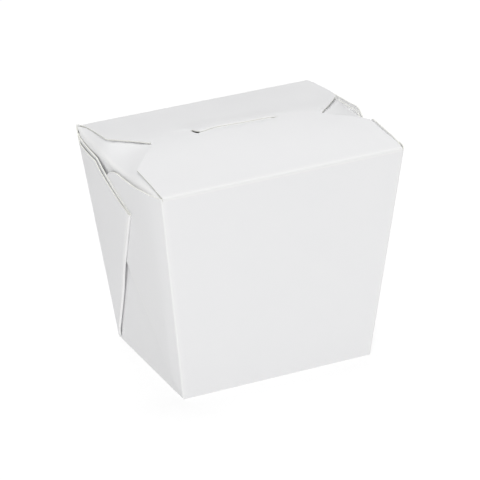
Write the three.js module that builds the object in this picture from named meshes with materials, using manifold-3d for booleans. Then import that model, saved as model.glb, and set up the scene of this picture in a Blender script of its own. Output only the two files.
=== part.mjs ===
// Noodle takeaway box: a shut food pail, folded from one sheet of plain white board.
// Millimetres, +Z up. The origin is the middle of the base, X runs along the wide panels,
// and the front panel faces -Y. The shut pail is one solid, with its folds as relief on it.

import * as THREE from "three";
import { mergeVertices } from "three/addons/utils/BufferGeometryUtils.js";
import Module from "manifold-3d";

const wasm = await Module();
wasm.setup();

// Driving dimensions of the pail.
const rimHeight = 98; // creases of the two lid flaps, above the base
const rimLength = 110.4; // the wide panels at their top crease
const rimDepth = 89.2; // front crease to rear crease
const baseLength = 88.1;
const baseDepth = 68;
const board = 0.45; // one thickness of board
const creaseRadius = 1.2;

// The ends: each panel bows out at the top, and its own crease is a little lower.
const endBow = 2.5;
const bowFlatness = 3; // power of the bow's curve across the panel
const bowRise = 1.2; // power of its growth up the panel
const endCreaseHeight = 97;
const shoulderReach = 17; // the end flap climbs over this length to meet the lid flaps
const shoulderRound = 2.5; // power of the climb, steep at the crease and level inside
const shoulderGap = 0.9; // what the end flap stays below the lid flaps where it shows

// The lid flaps climb from their creases to a ridge over the middle of the pail.
const lidSlope = Math.tan(THREE.MathUtils.degToRad(7.2));
const ridgeRound = 5; // half the width of the rounded ridge
const flapInset = 1; // from the end of the crease to the side of the flap
const flapCornerHalf = 54;
const frontCornerY = -17.9; // where the front flap's side turns into its chamfer
const backCornerY = 15.6;
const chamferEndHalf = 40;
const chamferEndY = -1.5;
const backFlapEndY = -8; // under the front flap
const tongueHalf = 19; // the front flap's tongue goes down through a slit in the back flap
const slitY = 4.2;
const slitSag = 1.2; // the slit's ends lie this much further forward than its middle
const lipLength = 12; // the board behind the slit rides up over the tongue

// The gussets: the web beside each corner, folded in half and laid on the end panel.
const foldLean = 0.64; // the fold runs this far sideways for each millimetre up
const foldTop = 80; // height of the gusset's point
const gussetFoot = 1.5; // height where the folded web starts
const innerTopY = -1.5; // top edge of the inner gusset, from the front corner to here
const outerTopY = 16; // top edge of the outer gusset, from the rear corner to here
const outerTopHeight = 95.7;
const outerCornerHeight = 96.4;
const outerLift = 1.4; // slack and the gusset beneath, under the outer gusset
const footRise = 18; // lift and thickness are full from this height up
const cornerShare = 0.2; // the web turns round the corner over this share of its width

const bite = board / 2; // board laid on the body sinks this far into it, to be one with it

// Facets of the curved faces.
const lengthCuts = 26;
const depthCuts = 20;
const heightCuts = 10;
const lipCuts = 10;
const crowding = 0.92; // draws the facets towards the rims, up to 1

const white = new THREE.MeshStandardMaterial({
  color: 0xf3f2f0,
  roughness: 0.62,
  metalness: 0,
});

const { clamp, lerp, smoothstep } = THREE.MathUtils;

const halfLength = (z) => lerp(baseLength, rimLength, z / rimHeight) / 2;
const halfDepth = (z) => lerp(baseDepth, rimDepth, z / rimHeight) / 2;

// The solid bounded by a closed geometry.
function solidOf(geometry) {
  geometry.deleteAttribute("normal");
  geometry.deleteAttribute("uv");
  const merged = mergeVertices(geometry, 1e-4);
  const vertProperties = new Float32Array(merged.attributes.position.array);
  const triVerts = new Uint32Array(merged.index.array);
  return new wasm.Manifold(new wasm.Mesh({ numProp: 3, vertProperties, triVerts }));
}

// A box cut into a grid, each point of it moved from (u, v, w), all 0 to 1, to place(u, v, w).
function warpedBox(cuts, place) {
  const geometry = new THREE.BoxGeometry(1, 1, 1, ...cuts).toNonIndexed();
  const points = geometry.attributes.position;
  for (let i = 0; i < points.count; i++) {
    const spot = place(points.getX(i) + 0.5, points.getY(i) + 0.5, points.getZ(i) + 0.5);
    points.setXYZ(i, spot.x, spot.y, spot.z);
  }
  return solidOf(geometry);
}

// An outline drawn on the floor, raised from one height to another.
function planSolid(shape, from, to) {
  const options = { depth: to - from, bevelEnabled: false, curveSegments: 12 };
  const geometry = new THREE.ExtrudeGeometry(shape, options);
  geometry.translate(0, 0, from);
  return solidOf(geometry);
}

// An outline of y and z, carried along X from one end to the other.
function crossSolid(shape, from, to) {
  const options = { depth: to - from, bevelEnabled: false, curveSegments: 6 };
  const geometry = new THREE.ExtrudeGeometry(shape, options);
  const axes = new THREE.Matrix4().makeBasis(
    new THREE.Vector3(0, 1, 0),
    new THREE.Vector3(0, 0, 1),
    new THREE.Vector3(1, 0, 0),
  );
  geometry.applyMatrix4(axes);
  geometry.translate(from, 0, 0);
  return solidOf(geometry);
}

const outline = (...corners) => new THREE.Shape(corners.map(([a, b]) => new THREE.Vector2(a, b)));

// How far the end panel stands out of the flat plane between its two corners.
function bulge(y, z) {
  const across = 1 - Math.min(1, Math.abs(y) / halfDepth(z)) ** bowFlatness;
  return endBow * across * clamp(z / rimHeight, 0, 1) ** bowRise;
}

// Height of the outer face of the lid at y: two slopes and a rounded ridge between them.
function lidHeight(y) {
  const run = Math.abs(y);
  const rounded = Math.min(run, ridgeRound);
  const easing = (ridgeRound - rounded) ** 2 / (2 * ridgeRound);
  return rimHeight + (rimDepth / 2 - run - easing) * lidSlope;
}

// Lift of the front flap, which lies on the back flap at the ridge.
const frontLift = (y) => board * clamp(1 + y / (rimDepth / 2), 0, 1);

// Height of the filled body: the end flaps where they show, and the underside of the lid flaps.
function fillHeight(inward, y) {
  const climb = 1 - (1 - clamp(inward / shoulderReach, 0, 1)) ** shoulderRound;
  const gap = shoulderGap * (1 - smoothstep(inward, 0, 1.5 * shoulderReach));
  const under = Math.max(lidHeight(y) - board - gap, endCreaseHeight);
  return lerp(endCreaseHeight, under, climb);
}

// A place from 0 to 1 along a side, as -1 to 1 with the middle steps longer than the outer ones.
function spread(t) {
  const swing = (Math.PI / 2) * crowding;
  return Math.sin((2 * t - 1) * swing) / Math.sin(swing);
}

function makeBody() {
  return warpedBox([lengthCuts, depthCuts, heightCuts], (u, v, w) => {
    const level = w * rimHeight;
    const y = spread(v) * halfDepth(level);
    const x = spread(u) * (halfLength(level) + bulge(y, level));
    const rimY = (spread(v) * rimDepth) / 2;
    const inward = (1 - Math.abs(spread(u))) * (rimLength / 2 + bulge(rimY, rimHeight));
    return new THREE.Vector3(x, y, w * fillHeight(inward, rimY));
  });
}

// A lid flap with the given outline seen from above: board that follows the lid's slope.
function makeFlap(shape, lift) {
  const steps = 24;
  const top = [];
  for (let i = 0; i <= steps; i++) {
    const y = lerp(-rimDepth / 2, rimDepth / 2, i / steps);
    top.push([y, lidHeight(y) + lift(y)]);
  }
  const under = top.map(([y, z]) => [y, z - board - bite]).reverse();
  const sheet = crossSolid(outline(...top, ...under), -rimLength, rimLength);
  return sheet.intersect(planSolid(shape, 0, 2 * rimHeight));
}

function makeFrontFlap() {
  const hinge = -rimDepth / 2;
  const crease = rimLength / 2 - flapInset;
  const shape = outline([-crease, hinge], [crease, hinge], [flapCornerHalf, frontCornerY]);
  shape.lineTo(chamferEndHalf, chamferEndY);
  shape.lineTo(tongueHalf, slitY - slitSag);
  shape.quadraticCurveTo(0, slitY + slitSag, -tongueHalf, slitY - slitSag);
  shape.lineTo(-chamferEndHalf, chamferEndY);
  shape.lineTo(-flapCornerHalf, frontCornerY);
  return makeFlap(shape, frontLift);
}

function makeBackFlap() {
  const hinge = rimDepth / 2;
  const crease = rimLength / 2 - 2 * flapInset;
  const shape = outline([crease, hinge], [-crease, hinge], [-flapCornerHalf, backCornerY]);
  shape.lineTo(-chamferEndHalf, chamferEndY);
  shape.lineTo(-tongueHalf, backFlapEndY);
  shape.lineTo(tongueHalf, backFlapEndY);
  shape.lineTo(chamferEndHalf, chamferEndY);
  shape.lineTo(flapCornerHalf, backCornerY);
  return makeFlap(shape, () => 0);
}

// The board behind the slit, pushed up by the tongue that runs under it.
function makeLip() {
  return warpedBox([lipCuts, 1, 1], (u, v, w) => {
    const across = 2 * u - 1;
    const y = slitY - slitSag * across ** 2 * (1 - v) + lipLength * v;
    const raised = 2 * board * (1 - across ** 2) * (1 - v);
    return new THREE.Vector3(across * tongueHalf, y, lidHeight(y) + lerp(-board, raised, w));
  });
}

// A gusset of the -X end: the web beside a corner, folded in half. Side is 1 for the rear corner
// and -1 for the front one, and the fold lies this far off the end panel. The shape, of y and z,
// cuts the upper edges.
function makeGusset(side, foldLift, shape) {
  const web = warpedBox([1, depthCuts / 2, 2 * heightCuts], (u, v, w) => {
    const share = side > 0 ? 1 - v : v; // 0 at the corner and 1 at the fold
    const z = lerp(gussetFoot, rimHeight, w);
    const y = side * lerp(halfDepth(z), baseDepth / 2 - foldLean * z, share ** 2);
    const turned = clamp(share / cornerShare, 0, 1);
    const risen = clamp(z / footRise, 0, 1);
    const inner = lerp(-board / 2, foldLift * share * risen - bite, turned);
    const outer = foldLift * share * risen + lerp(board / 2, 2 * board, turned * risen);
    return new THREE.Vector3(-halfLength(z) - bulge(y, z) - lerp(outer, inner, u), y, z);
  });
  const far = 2 * rimLength;
  return web.intersect(crossSolid(shape, -far, far));
}

const foldPoint = baseDepth / 2 - foldLean * foldTop; // y of the point of the rear corner's web

function makeInnerGusset() {
  const shape = outline(
    [-rimDepth, 0],
    [rimDepth, 0],
    [-foldPoint, foldTop],
    [innerTopY, endCreaseHeight],
    [-rimDepth, endCreaseHeight],
  );
  return makeGusset(-1, 0, shape);
}

function makeOuterGusset() {
  const shape = outline(
    [-rimDepth, 0],
    [rimDepth, 0],
    [rimDepth, outerCornerHeight],
    [outerTopY, outerTopHeight],
    [foldPoint, foldTop],
  );
  return makeGusset(1, outerLift, shape);
}

// The side view of the pail, with its creases rounded as folded board is.
function makeEnvelope() {
  const shape = new THREE.Shape();
  const rim = rimDepth / 2;
  const base = baseDepth / 2;
  const lean = (rim - base) / rimHeight;
  shape.moveTo(-base + creaseRadius, 0);
  shape.lineTo(base - creaseRadius, 0);
  shape.quadraticCurveTo(base, 0, base + creaseRadius * lean, creaseRadius);
  shape.lineTo(rim - creaseRadius * lean, rimHeight - creaseRadius);
  shape.quadraticCurveTo(rim, rimHeight, rim - creaseRadius, rimHeight + creaseRadius * lidSlope);
  shape.lineTo(rim - creaseRadius, rimHeight + rim * lidSlope + 2 * board);
  shape.lineTo(-rim + creaseRadius, rimHeight + rim * lidSlope + 2 * board);
  shape.lineTo(-rim + creaseRadius, rimHeight + creaseRadius * lidSlope);
  shape.quadraticCurveTo(-rim, rimHeight, -rim + creaseRadius * lean, rimHeight - creaseRadius);
  shape.lineTo(-base - creaseRadius * lean, creaseRadius);
  shape.quadraticCurveTo(-base, 0, -base + creaseRadius, 0);
  return crossSolid(shape, -rimLength, rimLength);
}

function makeCarton() {
  const end = makeInnerGusset().add(makeOuterGusset());
  const carton = makeBody()
    .add(makeBackFlap())
    .add(makeFrontFlap())
    .add(makeLip())
    .add(end)
    .add(end.rotate([0, 0, 180]));
  return carton.intersect(makeEnvelope());
}

function meshOf(solid, name, material) {
  const { numProp, vertProperties, triVerts } = solid.getMesh();
  const geometry = new THREE.BufferGeometry();
  const positions = new THREE.BufferAttribute(new Float32Array(vertProperties), numProp);
  geometry.setAttribute("position", positions);
  geometry.setIndex(new THREE.BufferAttribute(new Uint32Array(triVerts), 1));
  geometry.computeVertexNormals();
  const mesh = new THREE.Mesh(geometry, material);
  mesh.name = name;
  return mesh;
}

const pail = new THREE.Group();
pail.add(meshOf(makeCarton(), "carton", white));

export default pail;
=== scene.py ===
import math
import bpy
from mathutils import Matrix, Vector
from mathutils.geometry import delaunay_2d_cdt


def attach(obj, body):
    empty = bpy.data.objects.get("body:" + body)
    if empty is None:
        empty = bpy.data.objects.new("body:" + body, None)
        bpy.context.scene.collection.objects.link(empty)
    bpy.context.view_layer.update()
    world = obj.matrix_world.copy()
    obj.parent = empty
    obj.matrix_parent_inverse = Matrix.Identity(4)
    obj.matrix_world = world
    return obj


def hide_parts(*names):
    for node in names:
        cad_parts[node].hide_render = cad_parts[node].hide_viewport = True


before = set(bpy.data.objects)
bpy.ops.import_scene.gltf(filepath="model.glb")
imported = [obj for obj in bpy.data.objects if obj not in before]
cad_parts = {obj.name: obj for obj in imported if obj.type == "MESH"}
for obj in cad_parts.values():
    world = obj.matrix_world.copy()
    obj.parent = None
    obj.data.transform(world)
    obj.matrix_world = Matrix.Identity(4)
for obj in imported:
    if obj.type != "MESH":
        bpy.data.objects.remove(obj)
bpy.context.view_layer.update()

# A shut food pail, folded from one sheet of white board. The front panel faces -Y.
# Lengths are millimetres until a mesh is made, which is in metres.
print("noodle takeaway box: measures")

millimetre = 0.001         # in metres
weldDigits = 3             # points that agree to this many digits are one point
outlineTolerance = 0.00001
cutOutside = 1             # the triangulation leaves out what lies outside an outline

pail = {
    "rimHeight": 98.0,
    "rimLength": 110.4,
    "rimDepth": 89.2,
    "baseLength": 88.1,
    "baseDepth": 68.0,
    "board": 0.5,
    "foot": 1.0,           # height where the walls leave the base fold
    "flareTop": 96.8,      # the wide panels lean out up to here
    "baseInset": 1.1,      # from the side of the base to where it is flat
    "baseFullness": 0.1,   # share by which the base fold keeps clear of a square corner
    "baseStep": 5.0,       # the points in the base stand this far apart
    "baseMargin": 1.5,     # and this far in from its outline
    "lidCrease": 1.25,     # size of the folds of the lid flaps
    "cornerRadius": 0.65,  # the wide panel turns round a corner in this radius
    "cornerGrowth": 0.45,  # near the base the radius is only this part of the height
    "panelTop": 96.4,      # the wide panels end here, where the lid flaps fold
    "swell": 0.25,         # the wide panels stand out this far in their middle
    "sharpAngle": 40.0,    # edges that turn by more degrees than this look sharp
}

# The corner of the flat part of the base, and the line where a lid flap starts.
baseX = pail["baseLength"] / 2 - pail["baseInset"]
baseY = pail["baseDepth"] / 2 - pail["baseInset"]
hingeY = pail["rimDepth"] / 2 - pail["lidCrease"]

# The ridge of the lid runs askew: it lies further back at the left end than at the right.
# A pair is a measure at the left and at the right, and its span is the x where it changes.
lid = {
    "ridgeMiddle": 0.6,
    "ridgeSkew": 0.075,
    "crown": (4.45, 5.1),  # height of the ridge over the hinges
    "crownSpan": (-34.0, 10.0),
    "frontRound": (18.0, 28.0),  # each flap is bent this far from the ridge
    "frontRoundSpan": (-40.0, 30.0),
    "backRound": (16.0, 8.0),
    "backRoundSpan": (-32.0, 6.0),
    "frontLift": 1.0,      # boards of height that the front flap gains up to the ridge
    "pressedDown": 1.08,   # boards that the back flap lies lower where it goes under
}

end = {
    "bow": 2.5,            # the end panel stands out this far at the top
    "bowFlatness": 3.0,
    "bowRise": 1.2,
    "tuck": 1.0,           # it lies this far in beside a corner, under the folded web
    "tuckReach": 8.0,
    "tuckEased": 0.9,      # part of the tuck that is gone near the crease
    "tuckEasing": (-1.0, -0.3),  # heights from the crease where it goes
    "cornerCrease": 97.5,  # its crease sags from here to the middle of the end
    "sagFlatness": 4,      # and the higher this is, the flatter it lies there
    "creaseRadius": 1.2,
    "edgeGap": 0.7,        # room beside the corner, which grows to the next value
    "topEdgeGap": 0.85,
    "topEdgeSpan": (92.0, 96.5),
    "shoulderRound": 1.3,
    "flapTaper": 0.006,    # the flap narrows by this part for each mm inward
    "leastReach": 2.0,     # it climbs for at least this far
    "reachBeyond": 0.6,    # and goes on this far past the edge of the lid
    "rearSpan": (0.0, 15.0),  # behind the ridge the gap goes from tip to side
    "frontSpan": (1.0, 7.0),  # before the ridge the front flap comes to lie on it
    "frontGap": (0.1, 0.22),  # under the front flap, near the ridge and far from it
    "frontGapSpan": (14.0, 26.0),
    "widestTurn": 75,      # the columns stand closer together towards the corners
    "turnStep": 5,
    "foldSteps": (0.25, 0.5, 0.75),
    "lowLevels": (0, 0.011, 0.027, 0.048),  # rows of the panel, closer together at the foot
    "evenLevels": (0.075, 1, 0.04),  # from, to and step
    "flapSteps": (1.6, 2, 2.5, 3.2, 4, 5, 6, 8, 10, 12, 14, 16, 18, 21, 25, 30),
    # the flap is painted lighter from its crease out to this far inward, as worn coating and
    # painted highlight
    "wornAndHighlightTo": 2.4,
}

# How the flap of each end lies under the lid. Each edge gives y and the x of the lid's side.
leftEnd = {
    "side": -1,
    "crease": 96.3,
    "tipGap": 0.45,
    "sideGap": 0.15,
    "lidEdge": ((-43, 54.1), (-19, 54.4), (-3.2, 40.8), (1.6, 39.3), (14.7, 53.1), (41, 52.4)),
}
rightEnd = {
    "side": 1,
    "crease": 96.2,
    "tipGap": 0.32,
    "sideGap": 0.7,
    "lidEdge": ((-43, 54.4), (-29, 52.9), (-20, 52.0), (-5.7, 36.8), (-3.3, 37.9), (13.5, 53.2),
                (41, 55)),
}

# How much lighter the board is painted, from 0 on flat board to 1 on a fold: partly where the
# coating is broken open, partly a painted highlight along folds and corners.
wearAndHighlight = {
    "fold": 1.0,
    "foldEdge": 0.5,
    "panelTop": 0.3,
    "panelCorner": 0.6,
    "webCorner": 0.5,
}


def lerp(a, b, t):
    return a + (b - a) * t


def clamp(value, low=0.0, high=1.0):
    return max(low, min(high, value))


def smooth(value, low, high):
    t = clamp((value - low) / (high - low))
    return t * t * (3 - 2 * t)


def evenly(low, high, step):
    cuts = max(1, round((high - low) / step))
    return [lerp(low, high, i / cuts) for i in range(cuts + 1)]


# Where a line of points (u, v), sorted by u, passes at a given u.
def along(line, u):
    for a, b in zip(line, line[1:]):
        if u < b[0]:
            return lerp(a[1], b[1], clamp((u - a[0]) / (b[0] - a[0])))
    return line[-1][1]


# A bend from a to c that is drawn towards b.
def curve(a, b, c, t):
    return a * (1 - t) ** 2 + b * (2 * t * (1 - t)) + c * t ** 2


def halfLength(z):
    return lerp(pail["baseLength"], pail["rimLength"], z / pail["rimHeight"]) / 2


def halfDepth(z):
    share = min(z, pail["flareTop"]) / pail["rimHeight"]
    return lerp(pail["baseDepth"], pail["rimDepth"], share) / 2


def ridgeY(x):
    return lid["ridgeMiddle"] - lid["ridgeSkew"] * x


def lidMeasure(name, x):
    return lerp(*lid[name], smooth(x, *lid[name + "Span"]))


# Height of the lid: two slopes up from the hinges, each bent level where it meets the ridge.
def lidHeight(x, y):
    half = pail["rimDepth"] / 2
    run = y - ridgeY(x)
    if run > 0:
        length = half - ridgeY(x)
        bend = lidMeasure("backRound", x)
    else:
        length = half + ridgeY(x)
        bend = lidMeasure("frontRound", x)
    run = abs(run)
    fall = run * run / (2 * bend) if run < bend else run - bend / 2
    return pail["rimHeight"] + lidMeasure("crown", x) * (1 - fall / (length - bend / 2))


def frontHeight(x, y):
    lift = lid["frontLift"] * pail["board"] * clamp(1 + y / (pail["rimDepth"] / 2))
    return lidHeight(x, y) + lift


# The back flap is pressed down where it goes under the front flap.
def backHeight(x, y):
    if y > ridgeY(x):
        return lidHeight(x, y)
    return min(lidHeight(x, y), frontHeight(x, y) - lid["pressedDown"] * pail["board"])


# A sheet is gathered as points, each with the thickness of the board there and how much
# lighter it is painted, for worn coating and painted highlight. Points at one place are one point,
# so patches that meet are joined.
def newSheet():
    return {"index": {}, "points": [], "depths": [], "creases": [], "faces": []}


def addPoint(sheet, place, depth, crease):
    key = tuple(round(c, weldDigits) + 0.0 for c in place)
    if key not in sheet["index"]:
        sheet["index"][key] = len(sheet["points"])
        sheet["points"].append(Vector(place))
        sheet["depths"].append(depth)
        sheet["creases"].append(crease)
    return sheet["index"][key]


def addFace(sheet, corners):
    kept = []
    for corner in corners:
        if corner not in kept:
            kept.append(corner)
    if len(kept) > 2:
        sheet["faces"].append(kept)


def addGrid(sheet, rows):
    numbers = [[addPoint(sheet, *point) for point in row] for row in rows]
    for low, high in zip(numbers, numbers[1:]):
        for i in range(len(low) - 1):
            addFace(sheet, (low[i], low[i + 1], high[i + 1], high[i]))


# Whether a place lies inside an outline and at least a margin away from it.
def insideOutline(outline, x, y, margin):
    spot = Vector((x, y))
    inside = False
    for i, first in enumerate(outline):
        a = Vector(first)
        b = Vector(outline[(i + 1) % len(outline)])
        if (a.y > y) != (b.y > y) and x < (b.x - a.x) * (y - a.y) / (b.y - a.y) + a.x:
            inside = not inside
        run = b - a
        t = clamp((spot - a).dot(run) / run.length_squared)
        if (spot - a - run * t).length < margin:
            return False
    return inside


def fillPoints(outline, columns, rows, margin):
    return [(x, y) for y in rows for x in columns if insideOutline(outline, x, y, margin)]


# A flat outline filled with triangles on the given inner points, then bent by place(x, y).
def addOutline(sheet, outline, inner, place, faceUp=True):
    flat = [Vector(p) for p in outline + inner]
    loop = list(range(len(outline)))
    ring = [(i, (i + 1) % len(outline)) for i in loop]
    filled = delaunay_2d_cdt(flat, ring, [loop], cutOutside, outlineTolerance, True)
    verts, triangles, sources = filled[0], filled[2], filled[3]
    numbers = []
    for vert, source in zip(verts, sources):
        spot = flat[source[0]] if source else vert
        numbers.append(addPoint(sheet, *place(spot.x, spot.y)))
    for triangle in triangles:
        a, b, c = [verts[i] for i in triangle]
        middle = (a + b + c) / 3
        if not insideOutline(outline, middle.x, middle.y, 0):
            continue
        facesUp = (b - a).cross(c - a) > 0
        corners = [numbers[i] for i in triangle]
        addFace(sheet, corners if facesUp == faceUp else corners[::-1])


# A line with points added so that no part of it is longer than a step, without its last point.
def finer(line, step):
    result = []
    for first, following in zip(line, line[1:]):
        a = Vector(first)
        b = Vector(following)
        cuts = max(1, math.ceil((b - a).length / step))
        result += [tuple(a.lerp(b, k / cuts)) for k in range(cuts)]
    return result


# The normal at each point of a sheet, and every side of a face in the order of its corners.
def sheetNormals(sheet):
    normals = [Vector((0, 0, 0)) for _ in sheet["points"]]
    sides = set()
    for face in sheet["faces"]:
        corners = [sheet["points"][i] for i in face]
        normal = Vector((0, 0, 0))
        for a, b in zip(corners, corners[1:] + corners[:1]):
            normal += a.cross(b)
        normal.normalize()
        for k, i in enumerate(face):
            following = (k + 1) % len(face)
            before = corners[k - 1] - corners[k]
            after = corners[following] - corners[k]
            normals[i] += normal * before.angle(after, 0.0)
            sides.add((i, face[following]))
    return [normal.normalized() for normal in normals], sides


# The sheet with its thickness, as one closed mesh. Material 0 is the two faces of the board
# and material 1 its cut edges.
def makePiece(sheet, name, materials):
    normals, sides = sheetNormals(sheet)
    points = list(sheet["points"])
    count = len(points)
    for point, normal, depth in zip(sheet["points"], normals, sheet["depths"]):
        points.append(point - normal * depth)
    faces = list(sheet["faces"])
    faces += [[i + count for i in reversed(face)] for face in sheet["faces"]]
    slots = [0] * len(faces)
    for i, j in sorted(sides):
        if (j, i) not in sides:
            faces.append([j, i, i + count, j + count])
            slots.append(1)
    mesh = bpy.data.meshes.new(name)
    mesh.from_pydata([p * millimetre for p in points], [], faces)
    mesh.polygons.foreach_set("material_index", slots)
    mesh.polygons.foreach_set("use_smooth", [True] * len(faces))
    crease = mesh.attributes.new("crease", "FLOAT", "POINT")
    crease.data.foreach_set("value", sheet["creases"] * 2)
    mesh.set_sharp_from_angle(angle=math.radians(pail["sharpAngle"]))
    for material in materials:
        mesh.materials.append(material)
    piece = bpy.data.objects.new(name, mesh)
    bpy.context.scene.collection.objects.link(piece)
    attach(piece, "root")
    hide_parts("carton")


print("materials")

# Pressed fibres: a fine grain for the bump, and a faint cloudiness for the tone.
fibre = {
    "grainDetail": 3.0,
    "grainRoughness": 0.6,
    "cloudDetail": 4.0,
    "cloudRoughness": 0.55,
}

coatedLook = {
    "color": (0.845, 0.845, 0.85, 1.0),
    "shade": (0.825, 0.826, 0.835, 1.0),
    # folds and edges are painted this much lighter, as worn coating and as painted highlight
    "creaseAndHighlightColor": (0.875, 0.875, 0.87, 1.0),
    "creaseAndHighlightStrength": 0.8,
    "roughness": (0.5, 0.62),
    "roughnessClouds": (0.35, 0.65),
    "refraction": 1.45,
    "specular": 0.35,
    "bump": 0.00002,
    "bumpStrength": 0.5,
    "grainSize": 0.0005,
    "cloudSize": 0.018,
}

cutLook = {
    "color": (0.88, 0.88, 0.835, 1.0),
    "shade": (0.83, 0.83, 0.77, 1.0),
    "roughness": 0.9,
    "specular": 0.2,
    "bump": 0.00004,
    "bumpStrength": 0.6,
    "grainSize": 0.0003,
    "cloudSize": 0.002,
}

mixSockets = {"first": 6, "second": 7, "result": 2}  # the colour sockets of a mix node


def addNode(tree, kind, sockets=None, **properties):
    node = tree.nodes.new(kind)
    for name, value in properties.items():
        setattr(node, name, value)
    for name, value in (sockets or {}).items():
        node.inputs[name].default_value = value
    return node


def addColorMix(tree, first, second):
    sockets = {mixSockets["first"]: first, mixSockets["second"]: second}
    return addNode(tree, "ShaderNodeMix", sockets, data_type="RGBA")


# Its inputs are the sizes of the grain and of the clouds, in metres, and its outputs the
# height for a bump and the mask for a tone.
def makeFibreGroup():
    group = bpy.data.node_groups.new("boardFibre", "ShaderNodeTree")
    links = group.links
    for name in ("Grain Size", "Cloud Size"):
        group.interface.new_socket(name=name, in_out="INPUT", socket_type="NodeSocketFloat")
    for name in ("Height", "Cloud"):
        group.interface.new_socket(name=name, in_out="OUTPUT", socket_type="NodeSocketFloat")
    source = group.nodes.new("NodeGroupInput")
    result = group.nodes.new("NodeGroupOutput")
    place = group.nodes.new("ShaderNodeTexCoord")
    for kind, output in (("grain", "Height"), ("cloud", "Cloud")):
        scale = addNode(group, "ShaderNodeMath", {0: 1.0}, operation="DIVIDE")
        noise = addNode(group, "ShaderNodeTexNoise", {"Detail": fibre[kind + "Detail"],
                                                      "Roughness": fibre[kind + "Roughness"]})
        links.new(source.outputs[kind.capitalize() + " Size"], scale.inputs[1])
        links.new(place.outputs["Object"], noise.inputs["Vector"])
        links.new(scale.outputs[0], noise.inputs["Scale"])
        links.new(noise.outputs["Fac"], result.inputs[output])
    return group


def newMaterial(name):
    material = bpy.data.materials.new(name)
    material.use_nodes = True
    return material, material.node_tree, material.node_tree.nodes["Principled BSDF"]


# The fibres give a board its bump. What this returns is the clouds and the tone they make.
def addFibres(tree, shader, group, look):
    sizes = {"Grain Size": look["grainSize"], "Cloud Size": look["cloudSize"]}
    grain = addNode(tree, "ShaderNodeGroup", sizes, node_tree=group)
    tone = addColorMix(tree, look["shade"], look["color"])
    bump = addNode(tree, "ShaderNodeBump", {"Strength": look["bumpStrength"],
                                            "Distance": look["bump"]})
    tree.links.new(grain.outputs["Cloud"], tone.inputs[0])
    tree.links.new(grain.outputs["Height"], bump.inputs["Height"])
    tree.links.new(bump.outputs["Normal"], shader.inputs["Normal"])
    return grain.outputs["Cloud"], tone.outputs[mixSockets["result"]]


# Coated board is whiter along its folds and edges: partly where a fold has broken its face open,
# partly a painted highlight where they catch the light.
def makeBoardMaterial(group):
    material, tree, shader = newMaterial("coatedBoard")
    links = tree.links
    shader.inputs["IOR"].default_value = coatedLook["refraction"]
    shader.inputs["Specular IOR Level"].default_value = coatedLook["specular"]
    cloud, tone = addFibres(tree, shader, group, coatedLook)
    crease = addNode(tree, "ShaderNodeAttribute", attribute_name="crease")
    wornAndHighlight = addNode(tree, "ShaderNodeMath", {1: coatedLook["creaseAndHighlightStrength"]}, operation="MULTIPLY")
    whitenAndHighlight = addColorMix(tree, coatedLook["color"], coatedLook["creaseAndHighlightColor"])
    gloss = addNode(tree, "ShaderNodeMapRange", {
        "From Min": coatedLook["roughnessClouds"][0],
        "From Max": coatedLook["roughnessClouds"][1],
        "To Min": coatedLook["roughness"][0],
        "To Max": coatedLook["roughness"][1],
    })
    links.new(crease.outputs["Fac"], wornAndHighlight.inputs[0])
    links.new(wornAndHighlight.outputs[0], whitenAndHighlight.inputs[0])
    links.new(tone, whitenAndHighlight.inputs[mixSockets["first"]])
    links.new(whitenAndHighlight.outputs[mixSockets["result"]], shader.inputs["Base Color"])
    links.new(cloud, gloss.inputs["Value"])
    links.new(gloss.outputs["Result"], shader.inputs["Roughness"])
    return material


def makeCutMaterial(group):
    material, tree, shader = newMaterial("cutEdge")
    shader.inputs["Roughness"].default_value = cutLook["roughness"]
    shader.inputs["Specular IOR Level"].default_value = cutLook["specular"]
    _, tone = addFibres(tree, shader, group, cutLook)
    tree.links.new(tone, shader.inputs["Base Color"])
    return material


fibreGroup = makeFibreGroup()
boardMaterials = [makeBoardMaterial(fibreGroup), makeCutMaterial(fibreGroup)]

print("walls and gussets")

# Shares run from 0 at the corner to 1 at the fold of a web.
gusset = {
    "foldTop": 80.0,
    "fullFrom": 5.0,       # the folded layers lie at their full height from here up
    "leastRise": 0.12,     # part of that height that they have at the very foot
    "leanIn": 0.2,         # above the crease of the end they lean in this much for each mm
    "coverSpan": (-28.0, -2.0),  # a web climbs over this run before the fold beneath it
    "foldSlope": 1.6,      # above its fold the web beneath draws back this much for each mm
    "liftQuickness": 2.7,  # the higher this is, the sooner a web rises beside its corner
    "gap": 0.05,           # room between the two layers
    "gapHeights": (62.0, 84.0),  # more room, up to a web's "topGap", opens over these heights
    "gapOpening": (0.0, 0.22),   # and these shares
    "gapClosing": (0.5, 0.72),   # it closes again over these, by the next value
    "gapClosed": 0.6,
    "foldShare": 0.96,     # board nearer to the fold than this is painted lighter, as worn coating and painted highlight
    "shares": (0.0, 0.04, 0.1, 0.17, 0.25, 0.34, 0.43, 0.52, 0.61, 0.7, 0.78, 0.86, 0.93, 1.0),
    "shareRoom": 0.02,     # none of these is used so near to a turn of the top edge
    "foldTurns": (-60, -30, 0, 30, 60),
    "cornerTurns": (72, 54, 36, 18),
    "topSteps": 50,        # the top of a ray is found in this many steps
    "topStep": 0.6,        # and each goes this part of the way
}

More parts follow.
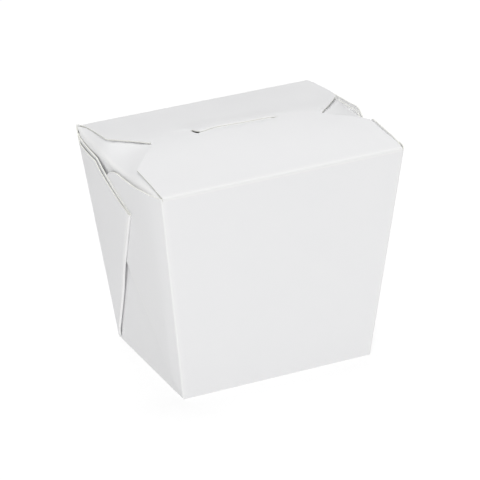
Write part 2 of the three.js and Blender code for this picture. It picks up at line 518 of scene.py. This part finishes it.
# Each web is one corner's board folded double over the end. "over" is the top edge of the layer
# that shows and "under" that of the hidden one, from the corner to near the fold, as (y, z)
# for a corner of the front panel. The fold leans sideways by "lean" for each mm up, from a
# place that lies "inset" beside the corner of the base.
webs = {
    "frontLeft": {
        "lean": 0.7,
        "inset": 0.0,
        "cornerTop": 97.9,
        "lift": 0.05,
        "coveredLift": 0.05,
        "topGap": 0.1,
        "over": ((-44.6, 97.8), (-36, 97.1), (-30, 96.7), (-22.8, 96.0), (-7, 95.7), (-2.5, 94.7),
                 (1.3, 93.2)),
        "under": ((-44.6, 97.0), (-40, 96.3), (-36, 95.9), (-30, 95.5), (-22.8, 94.8), (-9, 94.6),
                  (-6, 94.9), (-3.5, 94.4), (0.3, 93.0)),
    },
    "frontRight": {
        "lean": 0.605,
        "inset": 1.6,
        "cornerTop": 98.1,
        "lift": 0.3,
        "coveredLift": 0.5,
        "topGap": 0.2,
        "over": ((-44.6, 98.1), (-43, 98.9), (-40, 98.1), (-35, 97.0), (-31, 96.6), (-23, 96.9),
                 (-14.2, 97.6), (-11, 97.7)),
        "under": ((-44.6, 97.2), (-41, 97.6), (-31, 98.0), (-23, 98.2), (-14.2, 98.6),
                  (-11.5, 98.7)),
    },
    "rearRight": {
        "lean": 0.7,
        "inset": 0.0,
        "cornerTop": 97.4,
        "lift": 0.05,
        "coveredLift": 0.05,
        "topGap": 0.1,
        "over": ((-44.6, 97.2), (-22, 97.6), (-9.4, 98.3), (-5, 98.9), (-2.2, 98.6), (0.5, 96.4)),
        "under": ((-44.6, 97.1), (-22, 96.4), (-9.4, 96.9), (-5, 97.3), (-2.2, 97.0), (0.5, 95.4)),
    },
    "rearLeft": {
        "lean": 0.593,
        "inset": 1.7,
        "cornerTop": 98.3,
        "lift": 0.5,
        "coveredLift": 1.15,
        "topGap": 0.35,
        "over": ((-44.6, 97.0), (-41, 94.3), (-35.5, 93.4), (-28, 93.0), (-22, 93.0),
                 (-15.2, 93.4), (-9.4, 90.1), (-2.3, 86.5), (5, 83.4)),
        "under": ((-44.6, 97.0), (-43, 96.0), (-37, 95.4), (-29.8, 94.9), (-14.5, 94.7),
                  (-8.7, 91.8), (-1.6, 87.9), (3, 85.5)),
    },
}

# Steps up a wall and round its folds, as parts of the way.
wall = {
    "levels": (0, 0.012, 0.03, 0.055, *[i / 24 for i in range(2, 25)]),
    "baseFold": (0, 0.2, 0.4, 0.6, 0.8, 1),
    "lidFold": (0, 0.17, 0.34, 0.5, 0.66, 0.83, 1),
    "hingeParts": 44,
    "cutWidth": 0.003,     # from the end of a hinge to the cut, as a share of half a panel
    "rearHingeEnd": 53.2,  # the rear hinge stops here, short of the left corner
}


# A ray runs up from the base corner: share 0 is the corner itself and share 1 the fold.
def foldY(web, z):
    return web["inset"] - pail["baseDepth"] / 2 + web["lean"] * z


def cornerRadius(z):
    return min(pail["cornerRadius"], pail["cornerGrowth"] * z)


def rayY(web, share, z):
    return lerp(cornerRadius(z) - halfDepth(z), foldY(web, z), share)


def rayTop(web, layer, share):
    line = (*web[layer], (foldY(web, gusset["foldTop"]), gusset["foldTop"]))
    z = line[0][1]
    for _ in range(gusset["topSteps"]):
        z = lerp(z, along(line, rayY(web, share, z)), gusset["topStep"])
    return z


# The shares of a layer's columns, with one at each turn of its top edge.
def layerShares(web, layer):
    turns = []
    for y, z in web[layer][1:]:
        start = rayY(web, 0, z)
        turns.append((y - start) / (foldY(web, z) - start))
    room = gusset["shareRoom"]
    plain = [s for s in gusset["shares"] if all(abs(s - turn) > room for turn in turns)]
    return sorted(plain + turns)


# Part of their full height that the folded layers have.
def risen(z):
    return clamp(z / gusset["fullFrom"], gusset["leastRise"], 1)


# Part of the tuck that an end panel has, all of it at a corner and none far from one.
def tucked(y, z):
    return 1 - smooth(halfDepth(z) - abs(y), 0, end["tuckReach"])


# How far an end panel stands out of the flat plane between its two corners.
def panelOffset(y, z):
    across = 1 - min(1, abs(y) / halfDepth(z)) ** end["bowFlatness"]
    bow = end["bow"] * across * clamp(z / pail["rimHeight"]) ** end["bowRise"]
    return bow - end["tuck"] * tucked(y, z) * risen(z)


# How far over the middle the web of the other corner, which lies beneath, reaches.
def beneathReach(z):
    web = webs["frontLeft"]
    top = gusset["foldTop"]
    return foldY(web, z) if z < top else foldY(web, top) - gusset["foldSlope"] * (z - top)


# How far the outer faces of the under and the upper layer stand out of the flat end plane.
def layerOffsets(web, share, z):
    y = rayY(web, share, z)
    covered = smooth(y + beneathReach(z), *gusset["coverSpan"])
    lift = lerp(web["lift"], web["coveredLift"], covered)
    lift *= 1 - (1 - share) ** gusset["liftQuickness"]
    leaning = gusset["leanIn"] * max(0, z - pail["panelTop"])
    inner = panelOffset(y, z) + lift * risen(z) - leaning
    closed = gusset["gapClosed"] * smooth(share, *gusset["gapClosing"])
    spread = smooth(z, *gusset["gapHeights"]) * smooth(share, *gusset["gapOpening"]) * (1 - closed)
    gap = gusset["gap"] + web["topGap"] * spread
    return inner, inner + (2 * pail["board"] + gap) * risen(z)


def layerPoint(web, side, layer, share, z):
    inner, outer = layerOffsets(web, share, z)
    out = inner if layer == "under" else outer if share > 0 else 0
    place = (side * (halfLength(z) + out), rayY(web, share, z), z)
    wornAndHighlight = smooth(share, gusset["foldShare"], 1) + wearAndHighlight["webCorner"] * (share == 0)
    return place, pail["board"] * risen(z), wornAndHighlight


def foldPoint(web, side, turn, z):
    inner, outer = layerOffsets(web, 1, z)
    radius = (outer - inner) / 2
    out = (inner + outer) / 2 + radius * math.sin(turn)
    place = (side * (halfLength(z) + out), foldY(web, z) + radius * math.cos(turn), z)
    return place, pail["board"] * risen(z), wearAndHighlight["fold"]


def cornerPoint(side, turn, z):
    radius = cornerRadius(z)
    x = halfLength(z) - radius * (1 - math.sin(turn))
    y = -halfDepth(z) + radius * (1 - math.cos(turn))
    return (side * x, y, z), pail["board"], wearAndHighlight["fold"]


# Board is never quite flat: a wide panel swells slowly towards its middle.
def panelPoint(s, z):
    half = halfLength(z) - cornerRadius(z)
    swell = (1 - s * s) * math.sin(math.pi * clamp(z / pail["rimHeight"]))
    place = (s * half, -halfDepth(z) - pail["swell"] * swell, z)
    return place, pail["board"], wearAndHighlight["panelCorner"] * (abs(s) == 1)


# Columns of one layer from the corner to the fold, as (top, point(z)).
def layerColumns(web, side, layer):
    columns = []
    for s in layerShares(web, layer):
        columns.append((rayTop(web, layer, s), lambda z, s=s: layerPoint(web, side, layer, s, z)))
    return columns


# Columns of one side of the wall, from the hidden layer out to the corner.
def webColumns(web, side):
    columns = layerColumns(web, side, "under")[1:]
    for angle in gusset["foldTurns"]:
        turn = math.radians(angle)
        columns.append((gusset["foldTop"], lambda z, turn=turn: foldPoint(web, side, turn, z)))
    columns += reversed(layerColumns(web, side, "over"))
    for angle in gusset["cornerTurns"]:
        top = lerp(web["cornerTop"], rayTop(web, "over", 0), angle / 90)
        turn = math.radians(angle)
        columns.append((top, lambda z, turn=turn: cornerPoint(side, turn, z)))
    return columns


# A wide panel's columns, from corner to corner (-1 to 1). Its flap is hinged from low to high.
def panelShares(low, high):
    hinged = [lerp(low, high, i / wall["hingeParts"]) for i in range(wall["hingeParts"] + 1)]
    before = [-1.0, low - wall["cutWidth"]] if low > -1 else []
    after = [high + wall["cutWidth"], 1.0] if high < 1 else []
    return before + hinged + after


def wallRows(shares, hinge, leftWeb, rightWeb):
    panel = []
    for s in shares:
        beside = rightWeb if s > 0 else leftWeb
        top = pail["panelTop"] if hinge[0] <= s <= hinge[1] else beside["cornerTop"]
        panel.append((top, lambda z, s=s: panelPoint(s, z)))
    columns = webColumns(leftWeb, -1) + panel + webColumns(rightWeb, 1)[::-1]
    return [[point(lerp(pail["foot"], high, level)) for high, point in columns]
            for level in wall["levels"]]


# The fold round the base, from the flat base up to the foot of the front wall.
def baseFoldRows(shares, leftWeb, rightWeb):
    turns = [math.radians(angle) for angle in gusset["cornerTurns"]]
    foot = pail["foot"]
    fullness = pail["baseFullness"]
    tops = [(layerPoint(leftWeb, -1, "over", 0, foot), -baseX)]
    tops += [(cornerPoint(-1, turn, foot), -baseX) for turn in turns]
    tops += [(panelPoint(s, foot), s * baseX) for s in shares]
    tops += [(cornerPoint(1, turn, foot), baseX) for turn in reversed(turns)]
    tops += [(layerPoint(rightWeb, 1, "over", 0, foot), baseX)]
    rows = []
    for t in wall["baseFold"]:
        wornAndHighlight = wearAndHighlight["fold"] if t else wearAndHighlight["foldEdge"]
        row = []
        for (place, depth, crease), x in tops:
            low = Vector((x, -baseY, 0))
            high = Vector(place)
            corner = Vector((lerp(high.x, x, fullness), lerp(high.y, -baseY, fullness), 0))
            row.append((curve(low, corner, high, t), depth, wornAndHighlight))
        rows.append(row)
    return rows


# The fold of a lid flap, from the top of the front panel over to the flap's first line.
def lidFoldRows(shares, height):
    drop = pail["rimHeight"] - pail["lidCrease"]
    base = [panelPoint(s, pail["panelTop"]) for s in shares]
    rows = [[(place, depth, wearAndHighlight["panelTop"]) for place, depth, crease in base]]
    for t in wall["lidFold"]:
        wornAndHighlight = wearAndHighlight["fold"] if t < 1 else wearAndHighlight["foldEdge"]
        row = []
        for (x, y, z), depth, crease in base:
            low = Vector((x, -halfDepth(drop), drop))
            corner = Vector((x, -pail["rimDepth"] / 2, pail["rimHeight"]))
            high = Vector((x, -hingeY, height(x)))
            row.append((curve(low, corner, high, t), depth, wornAndHighlight))
        rows.append(row)
    return rows


# What is made for the front, at the back.
def turnedRound(rows):
    return [[((-p[0], -p[1], p[2]), depth, crease) for p, depth, crease in row] for row in rows]


print("lid flaps")

slit = {
    "half": 17.0,
    "leftLift": 1.05,      # the board behind the slit rides up by these lifts over the tongue
    "middleLift": 0.72,
    "rightLift": 0.62,
    "leftSpan": (-17.0, -5.0),
    "rightSpan": (-5.0, 14.0),
    "reach": 15.0,         # it lies flat again this far behind the slit
    "fade": 9.0,           # and this far beside it
    "wearAndHighlight": 0.9,           # width of the lip edge that is pressed down and painted lighter as a highlight
    "wornBy": 0.2,         # and how far its edge is pressed down
    "pressedAndHighlightHalf": 18.5,      # the lip is pressed down and painted lighter no further than this from the middle
    "edge": ((-17.0, 0.4), (-15, 0.7), (-11.8, 1.6), (-8.8, 2.2), (-5.1, 2.1), (1.8, 1.3),
             (8.4, 1.05), (14.5, 0.9), (17.6, -0.1), (18.2, -0.3)),
    "arc": (-17, 18.2, 1),  # from, to and step along the edge
    "lipLine": (-16, 17.6, 1),
    "lipBack": 0.45,       # the lip line runs this far behind the edge
}

# Between its sides the tongue sinks into the slit, to lie under the back flap.
tongue = {
    "dip": 3.0,            # it starts to sink this far before the edge of the slit
    "under": 1.1,          # boards from the back flap's face down to its own
    "leftSide": (-20.0, -16.0),
    "rightSide": (16.0, 19.0),
}

# Beside the slit the front flap holds the back flap down, which comes free over these y.
held = {
    "left": -20.0,
    "leftFree": (5.0, 8.0),
    "right": 19.0,
    "rightFree": (1.2, 4.0),
    "slitRoom": 0.6,       # between them it is free from this far before the slit's edge
}

# Points inside a flap: a fine grid about the slit and a coarse one beyond it.
flapGrid = {
    "edgeStep": 2.2,
    "nearStepX": 1.1,
    "nearStepY": 1.0,
    "farHalf": 53.0,
    "farStep": 2.5,
    "margin": 0.8,
}

# Each outline goes on from the end of its hinge, anticlockwise as seen from above.
frontFlap = {
    "right": ((54.3, -38.5), (52.9, -29.0), (52.3, -19.8), (48.2, -15.2), (41.2, -10.0),
              (36.9, -5.7)),
    "rightShoulder": ((33.5, -3.3), (29.7, 0.8), (25.5, 1.2), (20.0, 0.4), (19.2, -0.3),
                      (18.2, -0.6), (16.6, -0.2), (15.8, 0.5)),
    "tongue": ((15.4, 1.2), (15.2, 3.0), (14.5, 8.0), (12.0, 11.0), (0.0, 12.0), (-12.0, 11.0),
               (-15.2, 8.0), (-16.4, 4.4), (-16.8, 1.6), (-16.9, 0.6)),
    "leftShoulder": ((-17.3, 0.1), (-18.1, 0.1), (-18.9, 0.9), (-19.4, 2.1), (-19.8, 4.0),
                     (-20.6, 5.0), (-24.0, 5.4), (-28.7, 5.0), (-35.4, 1.9), (-39.3, 0.3)),
    "left": ((-41.0, -3.4), (-54.4, -19.2), (-54.2, -31.0)),
    "nearHalf": 22.0,
    "nearY": (-4.0, 11.0),
    "nearMargin": 0.35,
    "farRows": evenly(-41, -5, 2.4) + evenly(-4, 11, 1),
}

backFlap = {
    "left": ((-52.3, 40.0), (-52.4, 32.0), (-52.9, 22.0), (-53.2, 16.6), (-52.7, 14.7),
             (-49.4, 11.5), (-43.0, 5.4), (-39.3, 1.9), (-36.0, -1.0), (-34.0, -8.0),
             (-21.0, -8.0)),
    "leftHook": ((-20.5, 4.0), (-19.2, 4.0), (-18.7, 2.6), (-18.1, 1.5), (-17.4, 0.9)),
    "rightHook": ((18.8, -0.6), (19.6, -1.2)),
    "right": ((20.0, -8.0), (34.0, -8.0), (38.0, -3.5), (44.6, 2.9), (52.9, 12.9), (54.5, 21.6),
              (54.9, 38.0)),
    "nearHalf": 26.0,
    "nearY": (-7.0, 16.0),
    "nearMargin": 0.6,
    "farRows": evenly(-7, 41, 1.6),
}


def slitY(x):
    return along(slit["edge"], x)


# How far the board behind the slit rides up.
def lipLift(x, y):
    leftward = lerp(slit["leftLift"], slit["middleLift"], smooth(x, *slit["leftSpan"]))
    high = lerp(leftward, slit["rightLift"], smooth(x, *slit["rightSpan"]))
    across = 1 - smooth(abs(x), slit["half"], slit["half"] + slit["fade"])
    return high * across * (1 - smooth(y, slitY(x), slitY(x) + slit["reach"]))


def frontPlace(x, y):
    z = frontHeight(x, y)
    between = smooth(x, *tongue["leftSide"]) * (1 - smooth(x, *tongue["rightSide"]))
    under = backHeight(x, y) + lipLift(x, y) - tongue["under"] * pail["board"]
    onTongue = smooth(y, slitY(x) - tongue["dip"], slitY(x)) * between
    return (x, y, min(z, lerp(z, under, onTongue))), pail["board"], 0.0


def backPlace(x, y):
    edge = slitY(x)
    if x < held["left"]:
        free = smooth(y, *held["leftFree"])
    elif x > held["right"]:
        free = smooth(y, *held["rightFree"])
    else:
        free = y > edge - held["slitRoom"]
    # The lip's edge is painted lighter as a highlight along its lit rim, and pressed down a
    # little.
    atEdge = 1 - clamp((y - edge) / slit["wearAndHighlight"]) if abs(x) < slit["pressedAndHighlightHalf"] else 0.0
    z = backHeight(x, y) + lipLift(x, y) * free - slit["wornBy"] * atEdge * atEdge
    return (x, y, z), pail["board"], atEdge


# A flap from its hinge and the rest of its outline, with one more line of points inside.
def addFlap(sheet, flap, hinge, ring, line, place):
    outline = hinge[:-1] + finer([hinge[-1], *ring, hinge[0]], flapGrid["edgeStep"])
    half = flap["nearHalf"]
    low, high = flap["nearY"]
    nearXs = evenly(-half, half, flapGrid["nearStepX"])
    nearYs = evenly(low, high, flapGrid["nearStepY"])
    near = fillPoints(outline, nearXs, nearYs, flap["nearMargin"])
    margin = flapGrid["margin"]
    farXs = evenly(-flapGrid["farHalf"], flapGrid["farHalf"], flapGrid["farStep"])
    far = fillPoints(outline, farXs, flap["farRows"], margin)
    far = [(x, y) for x, y in far
           if abs(x) > half + margin or y < low - margin or y > high + margin]
    addOutline(sheet, outline, near + line + far, place)


def addFrontFlap(sheet, hingeXs):
    hinge = [(x, -hingeY) for x in hingeXs]
    ring = [*frontFlap["right"], *frontFlap["rightShoulder"], *frontFlap["tongue"],
            *frontFlap["leftShoulder"], *frontFlap["left"]]
    addFlap(sheet, frontFlap, hinge, ring, [], frontPlace)


def addBackFlap(sheet, hingeXs):
    hinge = [(x, hingeY) for x in hingeXs]
    arc = [(x, slitY(x)) for x in evenly(*slit["arc"])]
    ring = [*backFlap["left"], *backFlap["leftHook"], *arc, *backFlap["rightHook"],
            *backFlap["right"]]
    lip = [(x, slitY(x) + slit["lipBack"]) for x in evenly(*slit["lipLine"])]
    addFlap(sheet, backFlap, hinge, ring, lip, backPlace)


def addBase(sheet, frontXs, rearXs, endYs):
    outline = [(x, -baseY) for x in frontXs] + [(baseX, y) for y in endYs[1:-1]]
    outline += [(x, baseY) for x in rearXs] + [(-baseX, y) for y in endYs[-2:0:-1]]
    inner = fillPoints(outline, evenly(-baseX, baseX, pail["baseStep"]),
                       evenly(-baseY, baseY, pail["baseStep"]), pail["baseMargin"])
    addOutline(sheet, outline, inner, lambda x, y: ((x, y, 0), pail["board"], 0.0), False)


hingeX = halfLength(pail["panelTop"]) - pail["cornerRadius"]
widest = math.sin(math.radians(end["widestTurn"]))
endTurns = evenly(-end["widestTurn"], end["widestTurn"], end["turnStep"])
endShares = [math.sin(math.radians(turn)) / widest for turn in endTurns]
frontHinge = (-1.0, 1.0)
rearHinge = (-1.0, wall["rearHingeEnd"] / hingeX)
frontShares = panelShares(*frontHinge)
rearShares = panelShares(*rearHinge)
rearHinged = [s for s in rearShares if s < rearHinge[1] + wall["cutWidth"] / 2]
frontWebs = (webs["frontLeft"], webs["frontRight"])
rearWebs = (webs["rearRight"], webs["rearLeft"])

carton = newSheet()
addGrid(carton, wallRows(frontShares, frontHinge, *frontWebs))
addGrid(carton, turnedRound(wallRows(rearShares, rearHinge, *rearWebs)))
addGrid(carton, baseFoldRows(frontShares, *frontWebs))
addGrid(carton, turnedRound(baseFoldRows(rearShares, *rearWebs)))
addGrid(carton, lidFoldRows(frontShares, lambda x: frontHeight(x, -hingeY)))
addGrid(carton, turnedRound(lidFoldRows(rearHinged, lambda x: backHeight(-x, hingeY))))
addFrontFlap(carton, [s * hingeX for s in frontShares])
addBackFlap(carton, [-s * hingeX for s in rearHinged])
addBase(carton, [s * baseX for s in frontShares], [-s * baseX for s in rearShares],
        [s * baseY for s in endShares])
makePiece(carton, "cartonSheet", boardMaterials)

print("end panels")


def creaseHeight(kind, y):
    sag = 1 - (abs(y) / (pail["rimDepth"] / 2)) ** end["sagFlatness"]
    return lerp(end["cornerCrease"], kind["crease"], sag)


# Height where the fold of an end flap begins.
def flapStart(kind, s):
    return creaseHeight(kind, s * halfDepth(kind["crease"])) - end["creaseRadius"]


# Near its crease the panel comes out over the top edges of the webs.
def endPanelX(kind, y, z):
    eased = smooth(z - creaseHeight(kind, y), *end["tuckEasing"])
    out = end["tuck"] * end["tuckEased"] * tucked(y, z) * eased
    return halfLength(z) + panelOffset(y, z) + out


def endPanelY(s, z):
    gap = lerp(end["edgeGap"], end["topEdgeGap"], smooth(z, *end["topEdgeSpan"]))
    return s * (halfDepth(z) - gap)


# Height of an end flap where the lid covers it: just under whichever lid flap is lower.
def underLid(kind, x, y):
    run = y - ridgeY(x)
    gap = lerp(kind["tipGap"], kind["sideGap"], smooth(run, *end["rearSpan"]))
    frontGap = lerp(*end["frontGap"], smooth(-run, *end["frontGapSpan"]))
    below = lidHeight(x, y) - pail["board"] - gap
    beside = frontHeight(x, y) - pail["board"] - frontGap
    return lerp(below, beside, smooth(-run, *end["frontSpan"]))


# The end flap climbs from its crease to the edge of the lid.
def endFlapPoint(kind, s, inward):
    taper = 1 - end["flapTaper"] * (inward - end["creaseRadius"])
    y = endPanelY(s, flapStart(kind, s)) * taper
    crease = creaseHeight(kind, y)
    outer = endPanelX(kind, y, crease)
    x = kind["side"] * (outer - inward)
    reach = max(outer - along(kind["lidEdge"], y), end["leastReach"]) + end["reachBeyond"]
    climb = 1 - (1 - clamp(inward / reach)) ** end["shoulderRound"]
    return Vector((x, y, lerp(crease, underLid(kind, x, y), climb)))


# A column of an end panel: the fold at the base, the panel, its crease and its flap.
def endColumn(kind, s):
    side = kind["side"]
    board = pail["board"]
    foot = pail["foot"]
    radius = end["creaseRadius"]
    y = endPanelY(s, foot)
    low = Vector((side * baseX, s * baseY, 0))
    high = Vector((side * endPanelX(kind, y, foot), y, foot))
    corner = Vector((lerp(high.x, low.x, pail["baseFullness"]), y, 0))
    column = [(curve(low, corner, high, t), board, wearAndHighlight["fold"]) for t in (0, *end["foldSteps"])]
    top = flapStart(kind, s)
    for level in (*end["lowLevels"], *evenly(*end["evenLevels"])):
        z = lerp(foot, top, level)
        y = endPanelY(s, z)
        column.append(((side * endPanelX(kind, y, z), y, z), board, 0.0))
    y = endPanelY(s, top)
    low = Vector((side * endPanelX(kind, y, top), y, top))
    corner = Vector((side * endPanelX(kind, y, top + radius), y, top + radius))
    high = endFlapPoint(kind, s, radius)
    column += [(curve(low, corner, high, t), board, wearAndHighlight["fold"]) for t in end["foldSteps"]]
    for inward in (radius, *end["flapSteps"]):
        # Near its crease the flap is painted lighter, as worn coating and painted highlight.
        wornAndHighlight = 1 - smooth(inward, radius, end["wornAndHighlightTo"])
        column.append((endFlapPoint(kind, s, inward), board, wornAndHighlight))
    return column


for name, kind in (("leftEndPanel", leftEnd), ("rightEndPanel", rightEnd)):
    panel = newSheet()
    order = endShares if kind["side"] > 0 else endShares[::-1]
    addGrid(panel, zip(*[endColumn(kind, s) for s in order]))
    makePiece(panel, name, boardMaterials)

print("floor, light and camera")

studio = {
    "floorColor": (0.35, 0.35, 0.35, 1.0),
    "floorGlow": 0.71,
    "floorRoughness": 0.8,
    "floorSpecular": 0.1,
    "floorSize": 6.0,
    "floorDrop": -0.0002,
    "room": 0.315,
    "aimHeight": 0.05,
}

lights = {
    "keyLight": {"towards": (-0.364, -0.734, 0.573), "distance": 3.0, "size": 1.6, "power": 37.3},
    "topLight": {"towards": (0.1, 0.24, 1.0), "distance": 2.5, "size": 2.0, "power": 31.8},
}

view = {
    "target": (0.0, 0.0, 0.049),
    "azimuth": -24.85,
    "elevation": 24.46,
    "roll": -1.57,
    "distance": 1.24264,
    "lens": 218.9,
    "sensor": 36.0,
    "nearest": 0.05,
    "farthest": 20.0,
    "slide": (-0.000298, 0.001235),  # the picture's middle lies this far beside the target
}


def makeFloor():
    half = studio["floorSize"] / 2
    drop = studio["floorDrop"]
    corners = [(-half, -half, drop), (half, -half, drop), (half, half, drop), (-half, half, drop)]
    mesh = bpy.data.meshes.new("studioFloor")
    mesh.from_pydata(corners, [], [(0, 1, 2, 3)])
    material, _, shader = newMaterial("paleFloor")
    shader.inputs["Base Color"].default_value = studio["floorColor"]
    shader.inputs["Roughness"].default_value = studio["floorRoughness"]
    shader.inputs["Specular IOR Level"].default_value = studio["floorSpecular"]
    shader.inputs["Emission Color"].default_value = (1, 1, 1, 1)
    shader.inputs["Emission Strength"].default_value = studio["floorGlow"]
    mesh.materials.append(material)
    floor = bpy.data.objects.new("studioFloor", mesh)
    bpy.context.scene.collection.objects.link(floor)


def makeRoom():
    world = bpy.data.worlds.new("softRoom")
    world.use_nodes = True
    back = world.node_tree.nodes["Background"]
    back.inputs["Color"].default_value = (1.0, 1.0, 1.0, 1.0)
    back.inputs["Strength"].default_value = studio["room"]
    bpy.context.scene.world = world
    bpy.context.scene.view_settings.view_transform = "Standard"


def makeSoftLight(name, settings):
    towards = Vector(settings["towards"]).normalized()
    light = bpy.data.lights.new(name, "AREA")
    light.shape = "DISK"
    light.size = settings["size"]
    light.energy = settings["power"]
    lamp = bpy.data.objects.new(name, light)
    lamp.location = towards * settings["distance"] + Vector((0, 0, studio["aimHeight"]))
    lamp.rotation_euler = towards.to_track_quat("Z", "Y").to_euler()
    bpy.context.scene.collection.objects.link(lamp)


def makeCamera():
    azimuth, elevation, roll = [math.radians(view[k]) for k in ("azimuth", "elevation", "roll")]
    back = Vector((math.sin(azimuth) * math.cos(elevation),
                   -math.cos(azimuth) * math.cos(elevation), math.sin(elevation)))
    level = Vector((math.cos(azimuth), math.sin(azimuth), 0))
    upright = back.cross(level)
    right = level * math.cos(roll) + upright * math.sin(roll)
    up = upright * math.cos(roll) - level * math.sin(roll)
    spot = Vector(view["target"]) + right * view["slide"][0] + up * view["slide"][1]
    data = bpy.data.cameras.new("frontCamera")
    data.lens = view["lens"]
    data.sensor_width = view["sensor"]
    data.clip_start = view["nearest"]
    data.clip_end = view["farthest"]
    camera = bpy.data.objects.new("frontCamera", data)
    axes = Matrix((right, up, back)).transposed()
    camera.matrix_world = Matrix.Translation(spot + back * view["distance"]) @ axes.to_4x4()
    bpy.context.scene.collection.objects.link(camera)
    bpy.context.scene.camera = camera


makeFloor()
makeRoom()
for name, settings in lights.items():
    makeSoftLight(name, settings)
makeCamera()

bpy.context.view_layer.update()
